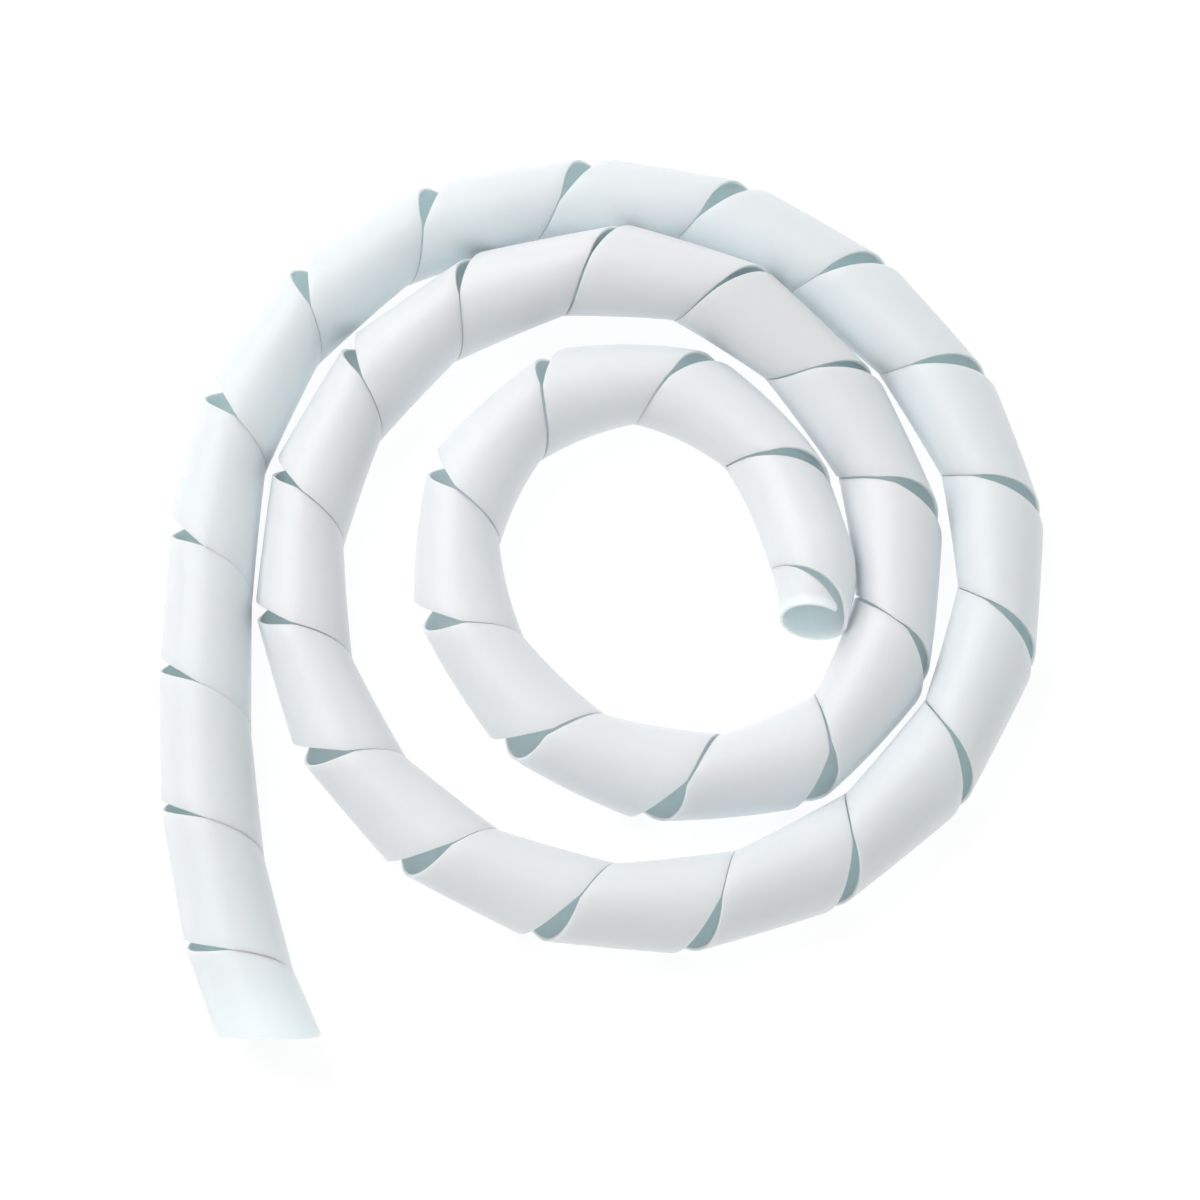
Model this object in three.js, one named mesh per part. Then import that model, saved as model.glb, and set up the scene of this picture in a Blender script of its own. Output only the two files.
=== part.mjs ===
// A length of spiral cable wrap, lying in a loose flat coil.
// It is one moulded strip: a band wound into a left-handed helix, so that its windings make
// a tube that can be opened and wrapped round a bundle of cables. The tube lies in a spiral
// of a little over two and a half turns, and its last stretch runs off nearly straight.
// Millimetres and degrees, +Z up. The origin is on the floor, under the middle of the coil.
import * as THREE from 'three';

// The tube and its band
const OUTER_DIAMETER = 15.0;
const WALL = 0.6;
const WINDING_PITCH = 24.2;
const BAND_WIDTH = 23.4;
const SEAM_CLEARANCE = 0.6;

// The seams at every twentieth of the length: how far round the tube from the outside of the
// bend they stay open, and how much wider they gape there than the bend alone makes them
const SEAM_CLOSING_ANGLES = [
  150, 97, 83, 83, 66, 84, 108, 92, 95, 76, 95, 82, 88, 118, 124, 122, 107, 108, 90, 90, 88,
];
const SEAM_CHANGES = [
  -2.6, -2.3, -1.2, -0.1, 0.7, -1.1, 0.1, -0.9, 0.6, -0.3, 1.0, 1.2, -0.6, -0.1, 1.0, 0.5, 1.3, 0.3,
  1.3, -0.1, 0.5,
];

// The angle round the tube at which the band starts at the inner end, and how far the
// windings have crept forward of an even pitch at every twentieth of the length
const FIRST_TIP_ANGLE = 44;
const WINDING_DRIFTS = [
  0, 1.6, -0.8, -0.9, -0.5, -0.5, 1.6, -1.6, -4.3, -5.0, -4.8, -6.3, -7.4, -7.1, -7.7, -6.8, -5.0, -2.0,
  0.6, 1.5, 1.2,
];

// The tube is wound tighter or looser: what that adds to its diameter at even places along it
const DIAMETER_CHANGES = [
  -0.3, 0.2, 0.4, 0.3, 0.3, -0.7, -0.2, 0, 0, -0.1, 0, 0.3, 0.6, 0.2, 0.4, 0.2, -0.1, -0.1, 0.1, 1.2, 1.2,
];
const INNER_END_NARROWING = 1.8;
const NARROWING_LENGTH = 16;

// The innermost turn: radii of its centreline at every eighth of a turn
const EIGHTH_TURN = 45;
const EYE_RADII = [36.9, 29.0, 28.8, 31.6, 31.9, 31.4, 32.8, 38.9];
const EYE_FIRST_ANGLE = -45;

// Plan gaps between each later eighth and the same eighth one turn further in. The first is
// taken to a place before the inner end. Where a later one is below nothing, the inner of the
// two turns lies on the shoulder of the outer.
const TURN_GAPS = [-6.0, 1.6, 1.7, 4.2, 9.1, 12.1, 13.7, 9.4, 2.2, 1.7, 1.2, 0.5, 2.4, 0.9];
const COIL_START_ANGLE = -23;
const COIL_END_ANGLE = 897;

// The straighter tail after the coil
const TAIL_LENGTH = 92;
const TAIL_FIRST_BEND_RADIUS = 490;
const TAIL_LAST_BEND_RADIUS = 118;

// The stretch that rides on the turn outside it, and the inner end, which stands up a little.
// Where the tube climbs, the longest winding's low end still clears the floor.
const TURN_CLEARANCE = 1.4;
const SADDLE_ANGLE = 443;
const SADDLE_REACH = 62;
const INNER_END_LIFT = 7.0;
const INNER_END_REACH = 60;
const LONGEST_WINDING = 26.8;

// The tail is cut on a slant: the cut face leans back from the vertical by this angle
const TAIL_CUT_LEAN = 20;

// Steps of the mesh
const STEPS_PER_WINDING = 24;
const PLAN_STEP_ANGLE = 0.5;
const ROUTE_STEP = 1;
const BEND_SPAN = 24;
const SHORTEST_TIP = 1.2;

const FULL_TURN = 360;
const STEP_ANGLE = FULL_TURN / STEPS_PER_WINDING;
const UP = new THREE.Vector3(0, 0, 1);

const radians = THREE.MathUtils.degToRad;
const degrees = THREE.MathUtils.radToDeg;

// A smooth curve through evenly spaced values, read at a fractional place in the list
function smoothValue(values, place) {
  const last = values.length - 1;
  const index = THREE.MathUtils.clamp(Math.floor(place), 0, last - 1);
  const here = values[index];
  const next = values[index + 1];
  const before = index > 0 ? values[index - 1] : 2 * here - next;
  const after = index + 2 <= last ? values[index + 2] : 2 * next - here;
  const t = place - index;
  const slope = (next - before) / 2;
  const nextSlope = (after - here) / 2;
  const bend = 3 * (next - here) - 2 * slope - nextSlope;
  const twist = slope + nextSlope - 2 * (next - here);
  return here + t * (slope + t * (bend + t * twist));
}

// Radii of the coil at every eighth of a turn: the eye, then each turn outside the last one
function coilRadii() {
  const radii = [...EYE_RADII];
  for (const gap of TURN_GAPS) {
    radii.push(radii[radii.length - EYE_RADII.length] + OUTER_DIAMETER + gap);
  }
  return radii;
}

// The plan of the centreline: the spiral by its radii, then the tail by its bend
function planPoints() {
  const radii = coilRadii();
  const points = [];
  for (let angle = COIL_START_ANGLE; angle <= COIL_END_ANGLE; angle += PLAN_STEP_ANGLE) {
    const radius = smoothValue(radii, (angle - EYE_FIRST_ANGLE) / EIGHTH_TURN);
    points.push(new THREE.Vector2(radius * Math.cos(radians(angle)), radius * Math.sin(radians(angle))));
  }
  let heading = points[points.length - 1].clone().sub(points[points.length - 2]).angle();
  for (let run = ROUTE_STEP; run <= TAIL_LENGTH; run += ROUTE_STEP) {
    const share = run / TAIL_LENGTH;
    const bend = THREE.MathUtils.lerp(1 / TAIL_FIRST_BEND_RADIUS, 1 / TAIL_LAST_BEND_RADIUS, share);
    heading += ROUTE_STEP * bend;
    const step = new THREE.Vector2(Math.cos(heading), Math.sin(heading)).multiplyScalar(ROUTE_STEP);
    points.push(points[points.length - 1].clone().add(step));
  }
  return points;
}

// The plan again at even steps along its length
function evenPoints(points) {
  const even = [points[0]];
  let carried = 0;
  for (let i = 1; i < points.length; i++) {
    const length = points[i].distanceTo(points[i - 1]);
    let along = ROUTE_STEP - carried;
    while (along <= length) {
      even.push(points[i - 1].clone().lerp(points[i], along / length));
      along += ROUTE_STEP;
    }
    carried = length - (along - ROUTE_STEP);
  }
  return even;
}

// Height that the middle turn needs to lie on the shoulder of the turn outside it
function saddleLift() {
  const apart = OUTER_DIAMETER + TURN_CLEARANCE;
  const gap = smoothValue(TURN_GAPS, (SADDLE_ANGLE - EYE_FIRST_ANGLE) / EIGHTH_TURN);
  return Math.sqrt(Math.max(0, apart ** 2 - (OUTER_DIAMETER + gap) ** 2));
}

// How fast one value of the route changes about a station
function routeChange(stations, name, i, reach) {
  const from = Math.max(0, i - reach);
  const to = Math.min(stations.length - 1, i + reach);
  return (stations[to][name] - stations[from][name]) / ((to - from) * ROUTE_STEP);
}

// The route: for each step its place, heading, bend, tube radius and the angle round the coil
function buildRoute() {
  const plan = evenPoints(planPoints());
  const count = plan.length;
  const length = (count - 1) * ROUTE_STEP;
  const stations = plan.map((point) => ({ x: point.x, y: point.y }));
  let turned = COIL_START_ANGLE;
  for (let i = 0; i < count; i++) {
    const station = stations[i];
    const ahead = plan[Math.min(i + 1, count - 1)];
    const behind = plan[Math.max(i - 1, 0)];
    const heading = Math.atan2(ahead.y - behind.y, ahead.x - behind.x);
    const last = i > 0 ? stations[i - 1].heading : heading;
    station.heading = last + Math.atan2(Math.sin(heading - last), Math.cos(heading - last));
    if (i > 0) {
      turned += degrees(plan[i - 1].clone().cross(plan[i]) / plan[i].lengthSq());
    }
    station.coilAngle = turned;
    const along = i * ROUTE_STEP;
    const place = (along / length) * (DIAMETER_CHANGES.length - 1);
    const narrowing = INNER_END_NARROWING * Math.max(0, 1 - along / NARROWING_LENGTH) ** 2;
    station.radius = (OUTER_DIAMETER + smoothValue(DIAMETER_CHANGES, place) - narrowing) / 2;
    const offSaddle = Math.min(1, Math.abs(turned - SADDLE_ANGLE) / SADDLE_REACH);
    const fromEnd = Math.max(0, 1 - along / INNER_END_REACH);
    station.rise = saddleLift() * Math.cos(offSaddle * Math.PI / 2) ** 2 + INNER_END_LIFT * fromEnd ** 2;
  }
  const reach = Math.round(BEND_SPAN / 2 / ROUTE_STEP);
  for (let i = 0; i < count; i++) {
    stations[i].slope = routeChange(stations, 'rise', i, 1);
    stations[i].lift = Math.max(stations[i].rise, Math.abs(stations[i].slope) * LONGEST_WINDING / 2);
    stations[i].bend = routeChange(stations, 'heading', i, reach);
  }
  for (let i = 0; i < count; i++) {
    stations[i].climb = routeChange(stations, 'slope', i, reach);
  }
  return { stations, length };
}

const route = buildRoute();

// One value of the route at a length along it, carried on in a straight line past both ends
function routeValue(name, along) {
  const place = along / ROUTE_STEP;
  const index = THREE.MathUtils.clamp(Math.floor(place), 0, route.stations.length - 2);
  const from = route.stations[index][name];
  const to = route.stations[index + 1][name];
  return from + (to - from) * (place - index);
}

// Place and directions of the tube's axis at a length along the route
function axisFrame(along) {
  const inside = THREE.MathUtils.clamp(along, 0, route.length);
  const heading = routeValue('heading', inside);
  const slope = routeValue('slope', inside);
  const forward = new THREE.Vector3(Math.cos(heading), Math.sin(heading), slope).normalize();
  const outward = new THREE.Vector3().crossVectors(forward, UP).normalize();
  const upward = new THREE.Vector3().crossVectors(outward, forward);
  const centre = new THREE.Vector3(
    routeValue('x', inside),
    routeValue('y', inside),
    routeValue('radius', inside) * Math.cos(radians(STEP_ANGLE / 2)) + routeValue('lift', inside),
  ).addScaledVector(forward, along - inside);
  return { centre, forward, outward, upward };
}

// One of the lists of values at even places along the length, read at any length along it
function valueAlong(values, along) {
  return smoothValue(values, (along / route.length) * (values.length - 1));
}

// Width of the seam at one angle round the tube: widest on the outside of the bend
function seamWidth(angle, along, widestPitch) {
  const closing = Math.cos(radians(valueAlong(SEAM_CLOSING_ANGLES, along)));
  const opening = widestPitch - BAND_WIDTH + valueAlong(SEAM_CHANGES, along);
  const widest = Math.max(0, opening - SEAM_CLEARANCE);
  const share = Math.max(0, (Math.cos(angle) - closing) / (1 - closing));
  return SEAM_CLEARANCE + widest * share;
}

// The flat cuts at the two ends: where each is, a point on it and the direction into the wrap
const startFrame = axisFrame(0);
const endFrame = axisFrame(route.length);
const cuts = [
  { along: 0, point: startFrame.centre, inward: startFrame.forward },
  {
    along: route.length,
    point: endFrame.centre,
    inward: new THREE.Vector3(0, Math.cos(radians(TAIL_CUT_LEAN)), Math.sin(radians(TAIL_CUT_LEAN))),
  },
];
const CUT_REACH = BAND_WIDTH + OUTER_DIAMETER;

// The stretch of one straight line across the band that the cuts at the ends leave
function trimmedLine(base, forward, halfWidth, along) {
  let low = -halfWidth;
  let high = halfWidth;
  for (const cut of cuts) {
    if (Math.abs(along - cut.along) > CUT_REACH) {
      continue;
    }
    const across = forward.dot(cut.inward);
    const crossing = -base.clone().sub(cut.point).dot(cut.inward) / across;
    if (across > 0) {
      low = Math.max(low, crossing);
    } else {
      high = Math.min(high, crossing);
    }
  }
  return { low, high };
}

// The four corners of the band's section where it passes one angle round the tube
function bandSection(angle) {
  const even = WINDING_PITCH * (angle - FIRST_TIP_ANGLE) / FULL_TURN - BAND_WIDTH / 2;
  const along = even + valueAlong(WINDING_DRIFTS, even);
  const ahead = valueAlong(WINDING_DRIFTS, even + ROUTE_STEP / 2);
  const creep = ahead - valueAlong(WINDING_DRIFTS, even - ROUTE_STEP / 2);
  const pitch = WINDING_PITCH * (1 + creep / ROUTE_STEP);
  const inside = THREE.MathUtils.clamp(along, 0, route.length);
  const frame = axisFrame(along);
  const turn = radians(angle);
  const normal = frame.outward.clone().multiplyScalar(Math.cos(turn));
  normal.addScaledVector(frame.upward, Math.sin(turn));
  const radius = routeValue('radius', inside);
  const bend = radius * routeValue('bend', inside);
  const climb = radius * routeValue('climb', inside);
  const pitchHere = pitch * (1 + bend * Math.cos(turn) - climb * Math.sin(turn));
  const halfWidth = (pitchHere - seamWidth(turn, inside, pitch * (1 + bend))) / 2;
  const corners = [];
  let width = Infinity;
  for (const distance of [radius, radius - WALL]) {
    const base = frame.centre.clone().addScaledVector(normal, distance);
    const { low, high } = trimmedLine(base, frame.forward, halfWidth, along);
    width = Math.min(width, high - low);
    corners.push(base.clone().addScaledVector(frame.forward, low));
    corners.push(base.clone().addScaledVector(frame.forward, high));
  }
  return { corners, width };
}

// Sections all along the band, each at a facet's edge, so that facets lie flat on the floor
function bandSections() {
  const windings = (route.length + BAND_WIDTH + OUTER_DIAMETER) / WINDING_PITCH;
  const firstStep = Math.ceil(FIRST_TIP_ANGLE / STEP_ANGLE);
  const lastStep = firstStep + Math.ceil(windings * STEPS_PER_WINDING);
  const sections = [];
  for (let step = firstStep; step <= lastStep; step++) {
    const section = bandSection((step + 0.5) * STEP_ANGLE);
    if (section.width >= SHORTEST_TIP) {
      sections.push(section);
    } else if (sections.length > 0) {
      break;
    }
  }
  return sections;
}

// The closed skin of the band: outside, inside, two long edges and two small end faces
function bandGeometry() {
  const sections = bandSections();
  const positions = sections.flatMap((section) => section.corners.flatMap((corner) => corner.toArray()));
  const OUTER_LOW = 0;
  const OUTER_HIGH = 1;
  const INNER_LOW = 2;
  const INNER_HIGH = 3;
  const sides = [
    [OUTER_LOW, OUTER_HIGH],
    [OUTER_HIGH, INNER_HIGH],
    [INNER_HIGH, INNER_LOW],
    [INNER_LOW, OUTER_LOW],
  ];
  const indices = [];
  for (let i = 0; i < sections.length - 1; i++) {
    const here = i * 4;
    const next = here + 4;
    for (const [a, b] of sides) {
      indices.push(here + a, here + b, next + b, here + a, next + b, next + a);
    }
  }
  const last = (sections.length - 1) * 4;
  indices.push(OUTER_LOW, INNER_LOW, INNER_HIGH, OUTER_LOW, INNER_HIGH, OUTER_HIGH);
  indices.push(last + OUTER_LOW, last + OUTER_HIGH, last + INNER_HIGH);
  indices.push(last + OUTER_LOW, last + INNER_HIGH, last + INNER_LOW);
  const geometry = new THREE.BufferGeometry();
  geometry.setAttribute('position', new THREE.Float32BufferAttribute(positions, 3));
  geometry.setIndex(indices);
  geometry.computeVertexNormals();
  return geometry;
}

// The coil is centred over the origin, with its lowest facets on the floor
function centred(geometry) {
  geometry.computeBoundingBox();
  const middle = geometry.boundingBox.getCenter(new THREE.Vector3());
  return geometry.translate(-middle.x, -middle.y, -geometry.boundingBox.min.z);
}

const polyethylene = new THREE.MeshStandardMaterial({
  color: 0xe9eff0,
  roughness: 0.42,
  metalness: 0,
});

const spiralWrap = new THREE.Mesh(centred(bandGeometry()), polyethylene);
spiralWrap.name = 'spiral_wrap';

const group = new THREE.Group();
group.add(spiralWrap);

export default group;
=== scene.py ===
"""A length of milky white spiral cable wrap, lying in a loose flat coil on a pale studio floor."""
import math

import bpy
import numpy as np
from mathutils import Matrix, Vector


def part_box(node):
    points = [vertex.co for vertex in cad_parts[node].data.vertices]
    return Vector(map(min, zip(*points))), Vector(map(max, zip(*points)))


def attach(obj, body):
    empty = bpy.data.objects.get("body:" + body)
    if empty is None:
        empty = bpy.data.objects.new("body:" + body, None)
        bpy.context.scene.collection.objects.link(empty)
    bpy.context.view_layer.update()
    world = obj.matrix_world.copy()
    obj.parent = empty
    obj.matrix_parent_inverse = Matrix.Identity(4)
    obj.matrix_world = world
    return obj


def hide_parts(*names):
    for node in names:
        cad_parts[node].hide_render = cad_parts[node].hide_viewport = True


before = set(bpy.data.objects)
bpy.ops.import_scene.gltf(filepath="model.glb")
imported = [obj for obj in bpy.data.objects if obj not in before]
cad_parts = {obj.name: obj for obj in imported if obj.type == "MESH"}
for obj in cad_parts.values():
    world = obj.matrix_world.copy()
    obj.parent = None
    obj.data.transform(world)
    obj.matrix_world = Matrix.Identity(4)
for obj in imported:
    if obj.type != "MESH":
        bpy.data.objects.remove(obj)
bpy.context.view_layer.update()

# The camera looks down on the coil from the front, 70 degrees above the floor, from arm's
# length and a bit more, with a long lens. The coil lies left of and above the frame's middle.
MM = 0.001
COIL_CENTRE = np.array([6.32, 7.11, 7.5]) * MM
CAMERA_ELEVATION = math.radians(70)
CAMERA_DISTANCE = 900 * MM
LENS_MM = 154.7
SENSOR_MM = 36
FRAME_SHIFT = (-0.0333, -0.0367)
NEAREST_SEEN = 10 * MM

camera_data = bpy.data.cameras.new("camera")
camera_data.lens = LENS_MM
camera_data.sensor_width = SENSOR_MM
camera_data.shift_x, camera_data.shift_y = FRAME_SHIFT
camera_data.clip_start = NEAREST_SEEN
camera = bpy.data.objects.new("camera", camera_data)
away = np.array([0, -math.cos(CAMERA_ELEVATION), math.sin(CAMERA_ELEVATION)])
camera.location = COIL_CENTRE + CAMERA_DISTANCE * away
camera.rotation_euler = (math.pi / 2 - CAMERA_ELEVATION, 0, 0)
bpy.context.collection.objects.link(camera)
bpy.context.scene.camera = camera
bpy.context.scene.view_settings.view_transform = "Standard"

# The line that the tube lies along: a spiral of a little over two and a half turns, pressed
# together on the right, then a nearly straight tail. The middle turn climbs on the shoulder of
# the outer one at the back, and the inner end stands up a little from the floor.
OUTER_DIAMETER = 15.0
WINDING_PITCH = 24.2
BAND_WIDTH = 23.4
DIAMETER_CHANGES = [
    -0.3, -0.1, 0.4, 0.3, 0.3, 0.3, 0.1, 0, 0, -0.1, 0, 0.3, 0.6, 0.2, 0.4, 0.2, -0.1, -0.1, 0.1,
    1.2, 1.2,
]
INNER_END_NARROWING = 2.9
NARROWING_LENGTH = 12
INNER_END_SHIFTS = [0.1, 0.6, -0.1, -0.3, -0.3, -0.1, 0]
SHIFT_SPACING = 8
EYE_RADII = [36.9, 29.0, 28.8, 31.6, 31.9, 31.4, 32.8, 38.9]
EYE_FIRST_ANGLE = -45
EIGHTH_TURN = 45
TURN_GAPS = [-5.9, 0.5, 1.2, 4.2, 9.1, 12.1, 13.7, 9.4, 2.1, 2.8, 1.7, 0.5, 2.4, 0.9]
COIL_START_ANGLE = -23
COIL_END_ANGLE = 897
ANGLE_STEP = 0.5
TAIL_LENGTH = 92
TAIL_BEND_RADII = (490, 118)
TURN_CLEARANCE = 1.4
SADDLE_ANGLE = 443
SADDLE_REACH = 62
INNER_END_LIFT = 7.0
INNER_END_REACH = 60
LONGEST_WINDING = 26.8
BEND_SPAN = 24
SOFTNESS_PLACES = (0, 10, 30, 150, 300)
SOFTNESS = (1.0, 1.0, 0.5, 0.4, 0.15)


def smooth_value(values, place):
    """A Catmull-Rom curve through evenly spaced values, read at fractional places in the list."""
    values = np.asarray(values, float)
    before = 2 * values[0] - values[1]
    after = 2 * values[-1] - values[-2]
    padded = np.concatenate([[before], values, [after]])
    index = np.clip(np.floor(place).astype(int), 0, len(values) - 2)
    t = place - index
    p0, p1, p2, p3 = (padded[index + k] for k in range(4))
    slope = (p2 - p0) / 2
    next_slope = (p3 - p1) / 2
    bend = 3 * (p2 - p1) - 2 * slope - next_slope
    twist = slope + next_slope - 2 * (p2 - p1)
    return p1 + t * (slope + t * (bend + t * twist))


def wrap_route():
    """The tube's centreline in millimetres, one station for each millimetre of it.

    The plan is a polar curve whose radius runs smoothly through one value for each eighth of a
    turn, each a tube's width and a gap outside the last turn, moved sideways a little near the
    inner end. The tail turns by a bend that grows evenly along it. Lift, slope, bends, softness
    and the tube's radius, which narrows at the inner end, are worked out from these.
    """
    radii = list(EYE_RADII)
    for gap in TURN_GAPS:
        radii.append(radii[-len(EYE_RADII)] + OUTER_DIAMETER + gap)
    angle = np.arange(COIL_START_ANGLE, COIL_END_ANGLE + ANGLE_STEP / 2, ANGLE_STEP)
    radius = smooth_value(radii, (angle - EYE_FIRST_ANGLE) / EIGHTH_TURN)
    turn = np.radians(angle)
    plan = np.stack([radius * np.cos(turn), radius * np.sin(turn)], 1)
    last_step = plan[-1] - plan[-2]
    run = np.arange(1, TAIL_LENGTH + 1)
    first_bend, last_bend = 1 / TAIL_BEND_RADII[0], 1 / TAIL_BEND_RADII[1]
    bends = first_bend + (last_bend - first_bend) * run / TAIL_LENGTH
    heading = math.atan2(last_step[1], last_step[0]) + np.cumsum(bends)
    tail = plan[-1] + np.cumsum(np.stack([np.cos(heading), np.sin(heading)], 1), 0)
    plan = np.concatenate([plan, tail])
    travelled = np.concatenate([[0], np.cumsum(np.linalg.norm(np.diff(plan, axis=0), axis=1))])
    length = math.floor(travelled[-1])
    along = np.arange(length + 1.0)
    x = np.interp(along, travelled, plan[:, 0])
    y = np.interp(along, travelled, plan[:, 1])
    heading = np.unwrap(np.arctan2(np.gradient(y), np.gradient(x)))
    ahead = np.minimum(along / SHIFT_SPACING, len(INNER_END_SHIFTS) - 1)
    shift = smooth_value(INNER_END_SHIFTS, ahead)
    x += shift * np.sin(heading)
    y -= shift * np.cos(heading)
    heading = np.unwrap(np.arctan2(np.gradient(y), np.gradient(x)))
    coil_angle = np.degrees(np.unwrap(np.arctan2(y, x)))
    coil_angle += COIL_START_ANGLE - coil_angle[0]
    narrowing = INNER_END_NARROWING * np.clip(1 - along / NARROWING_LENGTH, 0, None) ** 2
    change = smooth_value(DIAMETER_CHANGES, along / length * (len(DIAMETER_CHANGES) - 1))
    tube_radius = (OUTER_DIAMETER + change - narrowing) / 2
    apart = OUTER_DIAMETER + TURN_CLEARANCE
    saddle_gap = smooth_value(TURN_GAPS, np.array((SADDLE_ANGLE - EYE_FIRST_ANGLE) / EIGHTH_TURN))
    saddle = math.sqrt(apart ** 2 - (OUTER_DIAMETER + saddle_gap) ** 2)
    off_saddle = np.minimum(1, np.abs(coil_angle - SADDLE_ANGLE) / SADDLE_REACH)
    from_end = np.clip(1 - along / INNER_END_REACH, 0, None)
    rise = saddle * np.cos(off_saddle * math.pi / 2) ** 2 + INNER_END_LIFT * from_end ** 2
    slope = np.gradient(rise)
    lift = np.maximum(rise, np.abs(slope) * LONGEST_WINDING / 2)

    def spread_change(values):
        """How much a value changes in each millimetre, on average over the span of a bend."""
        low = np.clip(np.arange(length + 1) - BEND_SPAN // 2, 0, length)
        high = np.clip(np.arange(length + 1) + BEND_SPAN // 2, 0, length)
        return (values[high] - values[low]) / (high - low)

    return {
        "along": along, "length": length, "x": x, "y": y, "heading": heading, "slope": slope,
        "radius": tube_radius, "lift": lift, "bend": spread_change(heading),
        "climb": spread_change(slope), "softness": np.interp(along, SOFTNESS_PLACES, SOFTNESS),
    }


route = wrap_route()


def on_route(name, along):
    """One value of the route at any lengths along it, held level past both ends."""
    return np.interp(along, route["along"], route[name])


def axis_frame(along):
    """Centre, forward, outward and upward directions of the tube's axis at lengths along it."""
    inside = np.clip(along, 0, route["length"])
    heading = on_route("heading", inside)
    forward = np.stack([np.cos(heading), np.sin(heading), on_route("slope", inside)], -1)
    forward /= np.linalg.norm(forward, axis=-1, keepdims=True)
    outward = np.stack([forward[..., 1], -forward[..., 0], np.zeros_like(heading)], -1)
    outward /= np.linalg.norm(outward, axis=-1, keepdims=True)
    upward = np.cross(outward, forward)
    height = on_route("radius", inside) + on_route("lift", inside)
    centre = np.stack([on_route("x", inside), on_route("y", inside), height], -1)
    return centre + (along - inside)[..., None] * forward, forward, outward, upward


# The wrap: a low-density polyethylene tube, cut along its whole length into one band that
# winds left-handed. Away from the inner end each winding bends less than the coil does, so the
# coil shows as a chain of nearly straight pieces. Seams gape outside each bend and close inside.
WALL = 0.6
SEAM_CLOSING_ANGLES = [
    150, 97, 83, 83, 66, 84, 108, 92, 95, 76, 95, 82, 88, 118, 124, 122, 107, 108, 90, 90, 88,
]
SEAM_CHANGES = [
    -2.6, -2.3, -1.2, -0.1, 0.7, -1.1, 0.1, -0.9, 0.6, -0.3, 1.0, 1.2, -0.6, -0.1, 1.0, 0.5, 1.3,
    0.3, 1.3, -0.1, 0.5,
]
FIRST_TIP_ANGLE = 44
WINDING_DRIFTS = [
    0, 1.3, 0, -0.5, -0.8, -2.6, -1.2, -4.4, -5.6, -6.4, -6.4, -7.4, -8.5, -8.2, -8.7, -7.8, -4.8,
    -2.1, 0.2, 1.2, 0.4,
]
DRIFT_SPAN = 1.0
TAIL_CUT_LEAN = 20
EDGE_ROUNDING = 0.03
SHORTEST_TIP = 0.8
END_OVERHANG = 1.6
STEPS_PER_WINDING = 72
FACE_COLUMNS = 8
EDGE_COLUMNS = 4


def value_along(values, along):
    """A list of values, one for each twentieth of the tube's length, read at any lengths."""
    return smooth_value(values, along / route["length"] * (len(values) - 1))


def band_profile():
    """The band's section as a closed loop of points: (share of the width, inset, depth).

    Share runs from 0 at the low edge to 1 at the high one, inset is how far the point is drawn
    in from that edge, and depth is how far it lies under the outer face. Corners are arcs.
    """
    turn = np.linspace(0, math.pi / 2, EDGE_COLUMNS)
    inset = EDGE_ROUNDING * (1 - np.sin(turn))
    depth = EDGE_ROUNDING * (1 - np.cos(turn))
    top_edge = np.stack([np.ones_like(turn), inset, depth], 1)
    bottom_edge = np.stack([np.ones_like(turn), inset[::-1], WALL - depth[::-1]], 1)
    high_edge = np.concatenate([top_edge, bottom_edge])
    low_edge = high_edge[::-1] * [0, 1, 1]
    shares = np.linspace(0, 1, FACE_COLUMNS + 2)[1:-1]
    outside = np.stack([shares, 0 * shares, 0 * shares], 1)
    inside = np.stack([shares[::-1], 0 * shares, 0 * shares + WALL], 1)
    return np.concatenate([outside, high_edge, inside, low_edge])


def band_places(angle):
    """How far along the tube the band's middle passes each angle, and the pitch there.

    It is an even helix, moved along the tube by the windings' drift.
    """
    even = WINDING_PITCH * (angle - FIRST_TIP_ANGLE) / 360 - BAND_WIDTH / 2
    along = even + value_along(WINDING_DRIFTS, even)
    ahead = value_along(WINDING_DRIFTS, even + DRIFT_SPAN / 2)
    behind = value_along(WINDING_DRIFTS, even - DRIFT_SPAN / 2)
    return along, WINDING_PITCH * (1 + (ahead - behind) / DRIFT_SPAN)


def band_widths(turn, along, pitch):
    """Half the band's width along the axis at each place, and how much the bend stretches it.

    The half width is half the local pitch, which the bend stretches outside and shortens
    inside, less half the seam. A seam is widest outside the bend and shut past its closing angle.
    """
    inside = np.clip(along, 0, route["length"])
    radius = on_route("radius", inside)
    bend = radius * on_route("bend", inside)
    climb = radius * on_route("climb", inside)
    stretch = 1 + bend * np.cos(turn) - climb * np.sin(turn)
    closing = np.cos(np.radians(value_along(SEAM_CLOSING_ANGLES, inside)))
    opening = pitch * (1 + bend) - BAND_WIDTH + value_along(SEAM_CHANGES, inside)
    widest = np.clip(opening, 0, None)
    share = np.clip((np.cos(turn) - closing) / (1 - closing), 0, None)
    return (pitch * stretch - widest * share) / 2, stretch


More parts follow.
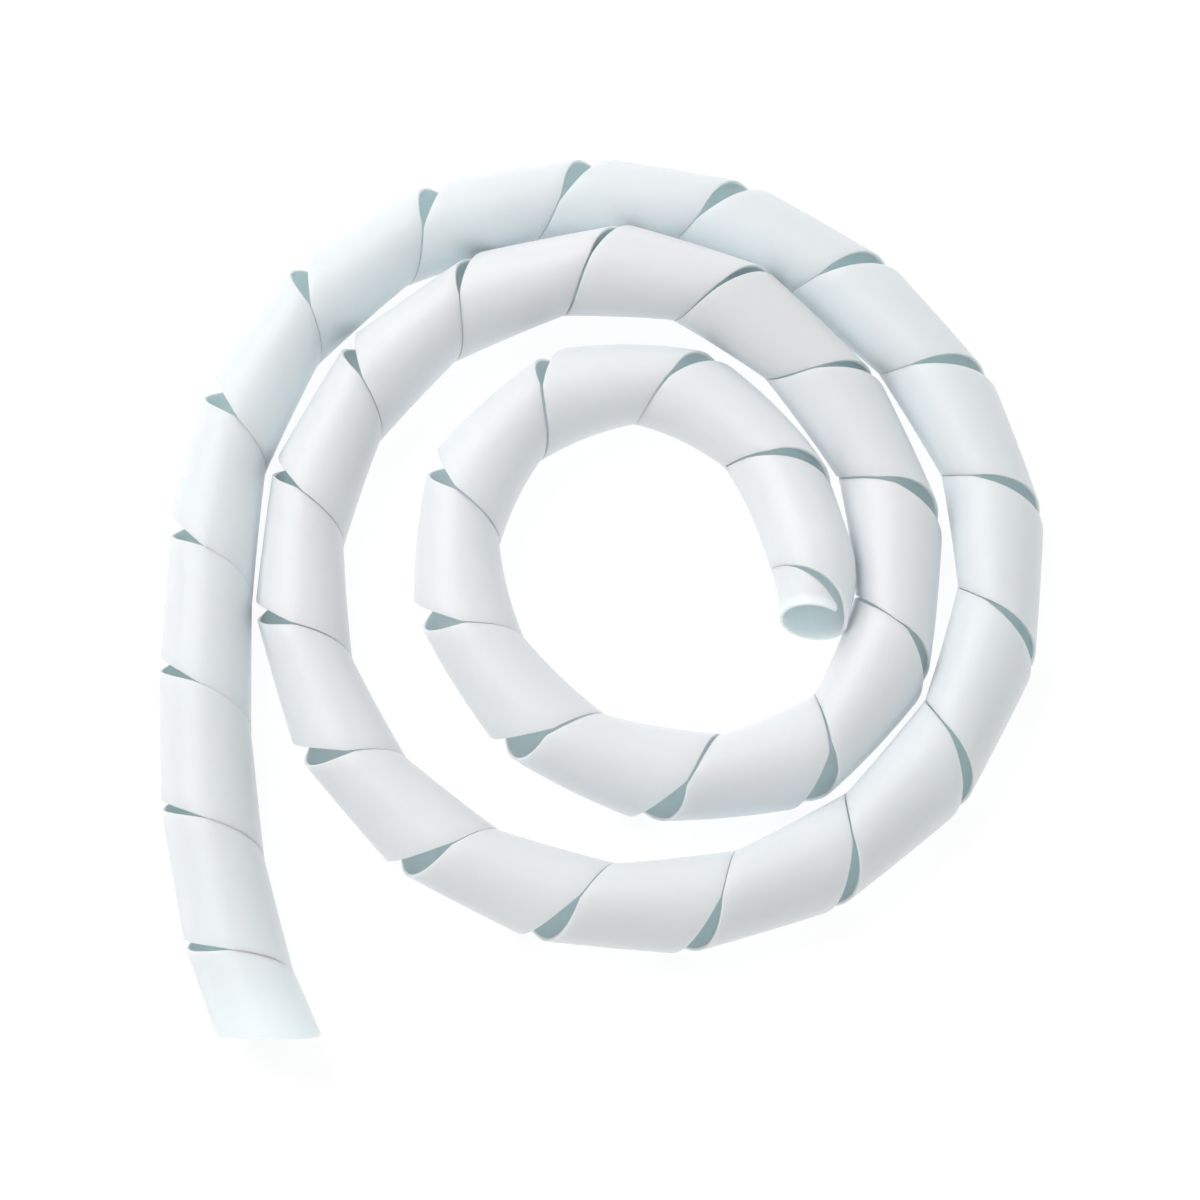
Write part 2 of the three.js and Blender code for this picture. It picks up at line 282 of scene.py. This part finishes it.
def band_points(angle):
    """Points of the band's sections where it passes the given angles round the tube.

    A section is a line across the band, thickened by the wall. It lies between the straight
    line along the tube's axis and the line that follows the tube's bend, by the softness there.
    Two flat cuts trim it: across the inner end, and on a slant through the tail. Also gives
    each point's own place on the straightened tube, and the width that the cuts leave.
    """
    profile = band_profile()
    turn = np.radians(angle)
    along, pitch = band_places(angle)
    half_width, stretch = band_widths(turn, along, pitch)
    centre, forward, outward, upward = axis_frame(along)
    normal = np.cos(turn)[:, None] * outward + np.sin(turn)[:, None] * upward
    distance = on_route("radius", along)[:, None] - profile[None, :, 2]
    base = centre[:, None] + distance[..., None] * normal[:, None]
    low = np.repeat(-half_width[:, None], len(profile), 1)
    high = -low
    low = np.maximum(low, -((along + END_OVERHANG) * stretch)[:, None])
    last_centre, _, _, _ = axis_frame(np.array([float(route["length"])]))
    lean = math.radians(TAIL_CUT_LEAN)
    tail_inward = np.array([0, math.cos(lean), math.sin(lean)])
    near = (np.abs(along - route["length"]) <= BAND_WIDTH + OUTER_DIAMETER)[:, None]
    crossing = -((base - last_centre[0]) @ tail_inward) / (forward @ tail_inward)[:, None]
    high = np.where(near, np.minimum(high, crossing), high)
    inset = np.where(profile[:, 0] > 0.5, -profile[:, 1], profile[:, 1])
    run = low + (high - low) * profile[:, 0] + inset
    reached = along[:, None] + run / stretch[:, None]
    distance = on_route("radius", reached) - profile[None, :, 2]
    straight = centre[:, None] + distance[..., None] * normal[:, None]
    straight = straight + run[..., None] * forward[:, None]
    bent_centre, _, bent_outward, bent_upward = axis_frame(reached)
    bent_normal = np.cos(turn)[:, None, None] * bent_outward + np.sin(turn)[:, None, None] * bent_upward
    bent = bent_centre + distance[..., None] * bent_normal
    points = straight + on_route("softness", reached)[..., None] * (bent - straight)
    width = (high - low).min(1)
    round_x = distance * np.cos(turn)[:, None]
    round_y = distance * np.sin(turn)[:, None]
    on_tube = np.stack([along[:, None] + run, round_x, round_y], -1)
    return points, on_tube, width


def band_mesh():
    """The band as one closed skin: the section's loop carried along the helix, closed at the tips.

    It starts and ends where the cuts leave less than the shortest tip of the band's width.
    """
    windings = (route["length"] + 2 * BAND_WIDTH) / WINDING_PITCH + 1
    angle = FIRST_TIP_ANGLE + np.arange(windings * STEPS_PER_WINDING) * 360 / STEPS_PER_WINDING
    points, on_tube, width = band_points(angle)
    kept = np.flatnonzero(width > SHORTEST_TIP)
    breaks = np.flatnonzero(np.diff(kept) > 1)
    if len(breaks):
        kept = kept[:breaks[0] + 1]
    points, on_tube = points[kept], on_tube[kept]
    rows, columns = points.shape[:2]
    low_corner, high_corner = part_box("spiral_wrap")
    flat = points.reshape(-1, 3) * MM
    middle = (flat.min(0) + flat.max(0)) / 2
    cad_middle = (np.array(low_corner) + np.array(high_corner)) / 2
    flat += [cad_middle[0] - middle[0], cad_middle[1] - middle[1], low_corner[2] - flat[:, 2].min()]
    index = np.arange(rows * columns).reshape(rows, columns)
    following = np.roll(index, -1, 1)
    quads = np.stack([index[:-1], following[:-1], following[1:], index[1:]], -1).reshape(-1, 4)
    mesh = bpy.data.meshes.new("spiral_wrap_band")
    ends = [index[0][::-1].tolist(), index[-1].tolist()]
    mesh.from_pydata(flat.tolist(), [], quads.tolist() + ends)
    mesh.polygons.foreach_set("use_smooth", np.ones(len(mesh.polygons), bool))
    tube = mesh.attributes.new("tube", "FLOAT_VECTOR", "POINT")
    tube.data.foreach_set("vector", (on_tube * MM).ravel())
    mesh.update()
    return mesh


wrap = bpy.data.objects.new("wrap_band", band_mesh())
bpy.context.collection.objects.link(wrap)
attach(wrap, "root")
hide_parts("spiral_wrap")


class Socket:
    """An output socket that takes part in Python arithmetic by adding Math nodes."""

    def __init__(self, material, output):
        self.material = material
        self.output = output

    def _math(self, operation, *values):
        return self.material.add("ShaderNodeMath", {"operation": operation}, dict(enumerate(values)))

    def __add__(self, other):
        return self._math("ADD", self, other)

    def __radd__(self, other):
        return self._math("ADD", other, self)

    def __mul__(self, other):
        return self._math("MULTIPLY", self, other)

    def __rmul__(self, other):
        return self._math("MULTIPLY", other, self)


class Material:
    """A node material. add() makes one node from its type, its settings and its sockets."""

    def __init__(self, name):
        self.data = bpy.data.materials.new(name)
        self.data.use_nodes = True
        self.tree = self.data.node_tree
        self.shader = self.tree.nodes["Principled BSDF"]

    def add(self, kind, settings=None, sockets=None, output=0):
        node = self.tree.nodes.new(kind)
        for name, value in (settings or {}).items():
            setattr(node, name, value)
        for key, value in (sockets or {}).items():
            self.feed(node.inputs[key], value)
        return Socket(self, node.outputs[output])

    def feed(self, socket, value):
        if isinstance(value, Socket):
            self.tree.links.new(value.output, socket)
        else:
            socket.default_value = value


# The wrap's plastic is milky and lets some light through. Extrusion leaves faint lines along
# the tube, handling leaves faint cloudy marks, and the outer turn is cooler than the inner ones.
COOL_WHITE = (0.725, 0.82, 0.85, 1)
WARM_WHITE = (0.765, 0.83, 0.865, 1)
OUTER_TURN_STARTS = 450 * MM
OUTER_TURN_TINTED = 550 * MM
TURN_TINT_SHARE = 0.7
DRIFT_TINT_SHARE = 0.3
DRIFT_SCALE = 14
LINE_STRETCH = (0.012, 1, 1)
LINE_SCALE = 900
LINE_SHARE = 0.6
MARK_SCALE = 130
MARK_SHARE = 0.4
RELIEF_STRENGTH = 0.12
RELIEF_DEPTH = 0.12 * MM
CLEAN_ROUGHNESS = 0.31
MARK_ROUGHNESS = 0.1
SHEEN_LEVEL = 0.38
REFRACTION = 1.51
SCATTER_DEPTH = 2.0 * MM
SCATTER_BY_COLOUR = (0.78, 1.0, 1.0)


def polyethylene():
    """Milky plastic: a white base with scattering, die lines along the tube and cloudy marks."""
    material = Material("white_polyethylene")
    tube = material.add("ShaderNodeAttribute", {"attribute_name": "tube"}, output="Vector")
    place = material.add("ShaderNodeTexCoord", output="Object")
    drift = material.add("ShaderNodeTexNoise", None, {"Vector": place, "Scale": DRIFT_SCALE, "Detail": 1})
    along = material.add("ShaderNodeSeparateXYZ", None, {"Vector": tube}, output="X")
    outer = material.add(
        "ShaderNodeMapRange",
        None,
        {"Value": along, "From Min": OUTER_TURN_STARTS, "From Max": OUTER_TURN_TINTED},
    )
    colour = material.add(
        "ShaderNodeMix",
        {"data_type": "RGBA"},
        {"Factor": outer * TURN_TINT_SHARE + drift * DRIFT_TINT_SHARE, 6: WARM_WHITE, 7: COOL_WHITE},
        output=2,
    )
    stretched = material.add(
        "ShaderNodeVectorMath", {"operation": "MULTIPLY"}, {0: tube, 1: LINE_STRETCH}
    )
    lines = material.add(
        "ShaderNodeTexNoise", None, {"Vector": stretched, "Scale": LINE_SCALE, "Detail": 2}
    )
    marks = material.add("ShaderNodeTexNoise", None, {"Vector": place, "Scale": MARK_SCALE, "Detail": 4})
    height = lines * LINE_SHARE + marks * MARK_SHARE
    bump = material.add(
        "ShaderNodeBump",
        None,
        {"Height": height, "Strength": RELIEF_STRENGTH, "Distance": RELIEF_DEPTH},
    )
    shader = material.shader.inputs
    material.feed(shader["Base Color"], colour)
    material.feed(shader["Roughness"], CLEAN_ROUGHNESS + marks * MARK_ROUGHNESS)
    material.feed(shader["Normal"], bump)
    shader["Subsurface Weight"].default_value = 1.0
    shader["Subsurface Radius"].default_value = SCATTER_BY_COLOUR
    shader["Subsurface Scale"].default_value = SCATTER_DEPTH
    shader["Specular IOR Level"].default_value = SHEEN_LEVEL
    shader["IOR"].default_value = REFRACTION
    return material.data


wrap.data.materials.append(polyethylene())

# The floor is a wide, flat, matt sheet of studio paper, lit from under as a light table is, so
# that it comes out white and shadows on it stay faint.
FLOOR_SIZE = 6.0
FLOOR_COLOUR = (0.18, 0.18, 0.18, 1)
FLOOR_ROUGHNESS = 0.9
FLOOR_GLOW = 0.86
PURE_WHITE = (1, 1, 1, 1)

bpy.ops.mesh.primitive_plane_add(size=FLOOR_SIZE)
floor = bpy.context.object
floor.name = "floor"
floor_material = Material("studio_paper")
floor_shader = floor_material.shader.inputs
floor_shader["Base Color"].default_value = FLOOR_COLOUR
floor_shader["Roughness"].default_value = FLOOR_ROUGHNESS
floor_shader["Emission Color"].default_value = PURE_WHITE
floor_shader["Emission Strength"].default_value = FLOOR_GLOW
floor_shader["Specular IOR Level"].default_value = 0.0
floor.data.materials.append(floor_material.data)

# Soft studio light: a bright even room, and one wide soft box above, to the left and behind.
ROOM_BRIGHTNESS = 0.71
SOFT_BOX_PLACE = (-1.0, 0.8, 1.4)
SOFT_BOX_SIZE = 1.6
SOFT_BOX_WATTS = 24.0

world = bpy.data.worlds.new("room")
world.use_nodes = True
world.node_tree.nodes["Background"].inputs["Color"].default_value = PURE_WHITE
world.node_tree.nodes["Background"].inputs["Strength"].default_value = ROOM_BRIGHTNESS
bpy.context.scene.world = world

soft_box_data = bpy.data.lights.new("soft_box", "AREA")
soft_box_data.size = SOFT_BOX_SIZE
soft_box_data.energy = SOFT_BOX_WATTS
soft_box = bpy.data.objects.new("soft_box", soft_box_data)
soft_box.location = SOFT_BOX_PLACE
toward = -np.array(SOFT_BOX_PLACE)
soft_box.rotation_euler = (
    math.atan2(math.hypot(toward[0], toward[1]), -toward[2]),
    0,
    math.atan2(toward[1], toward[0]) - math.pi / 2,
)
bpy.context.collection.objects.link(soft_box)
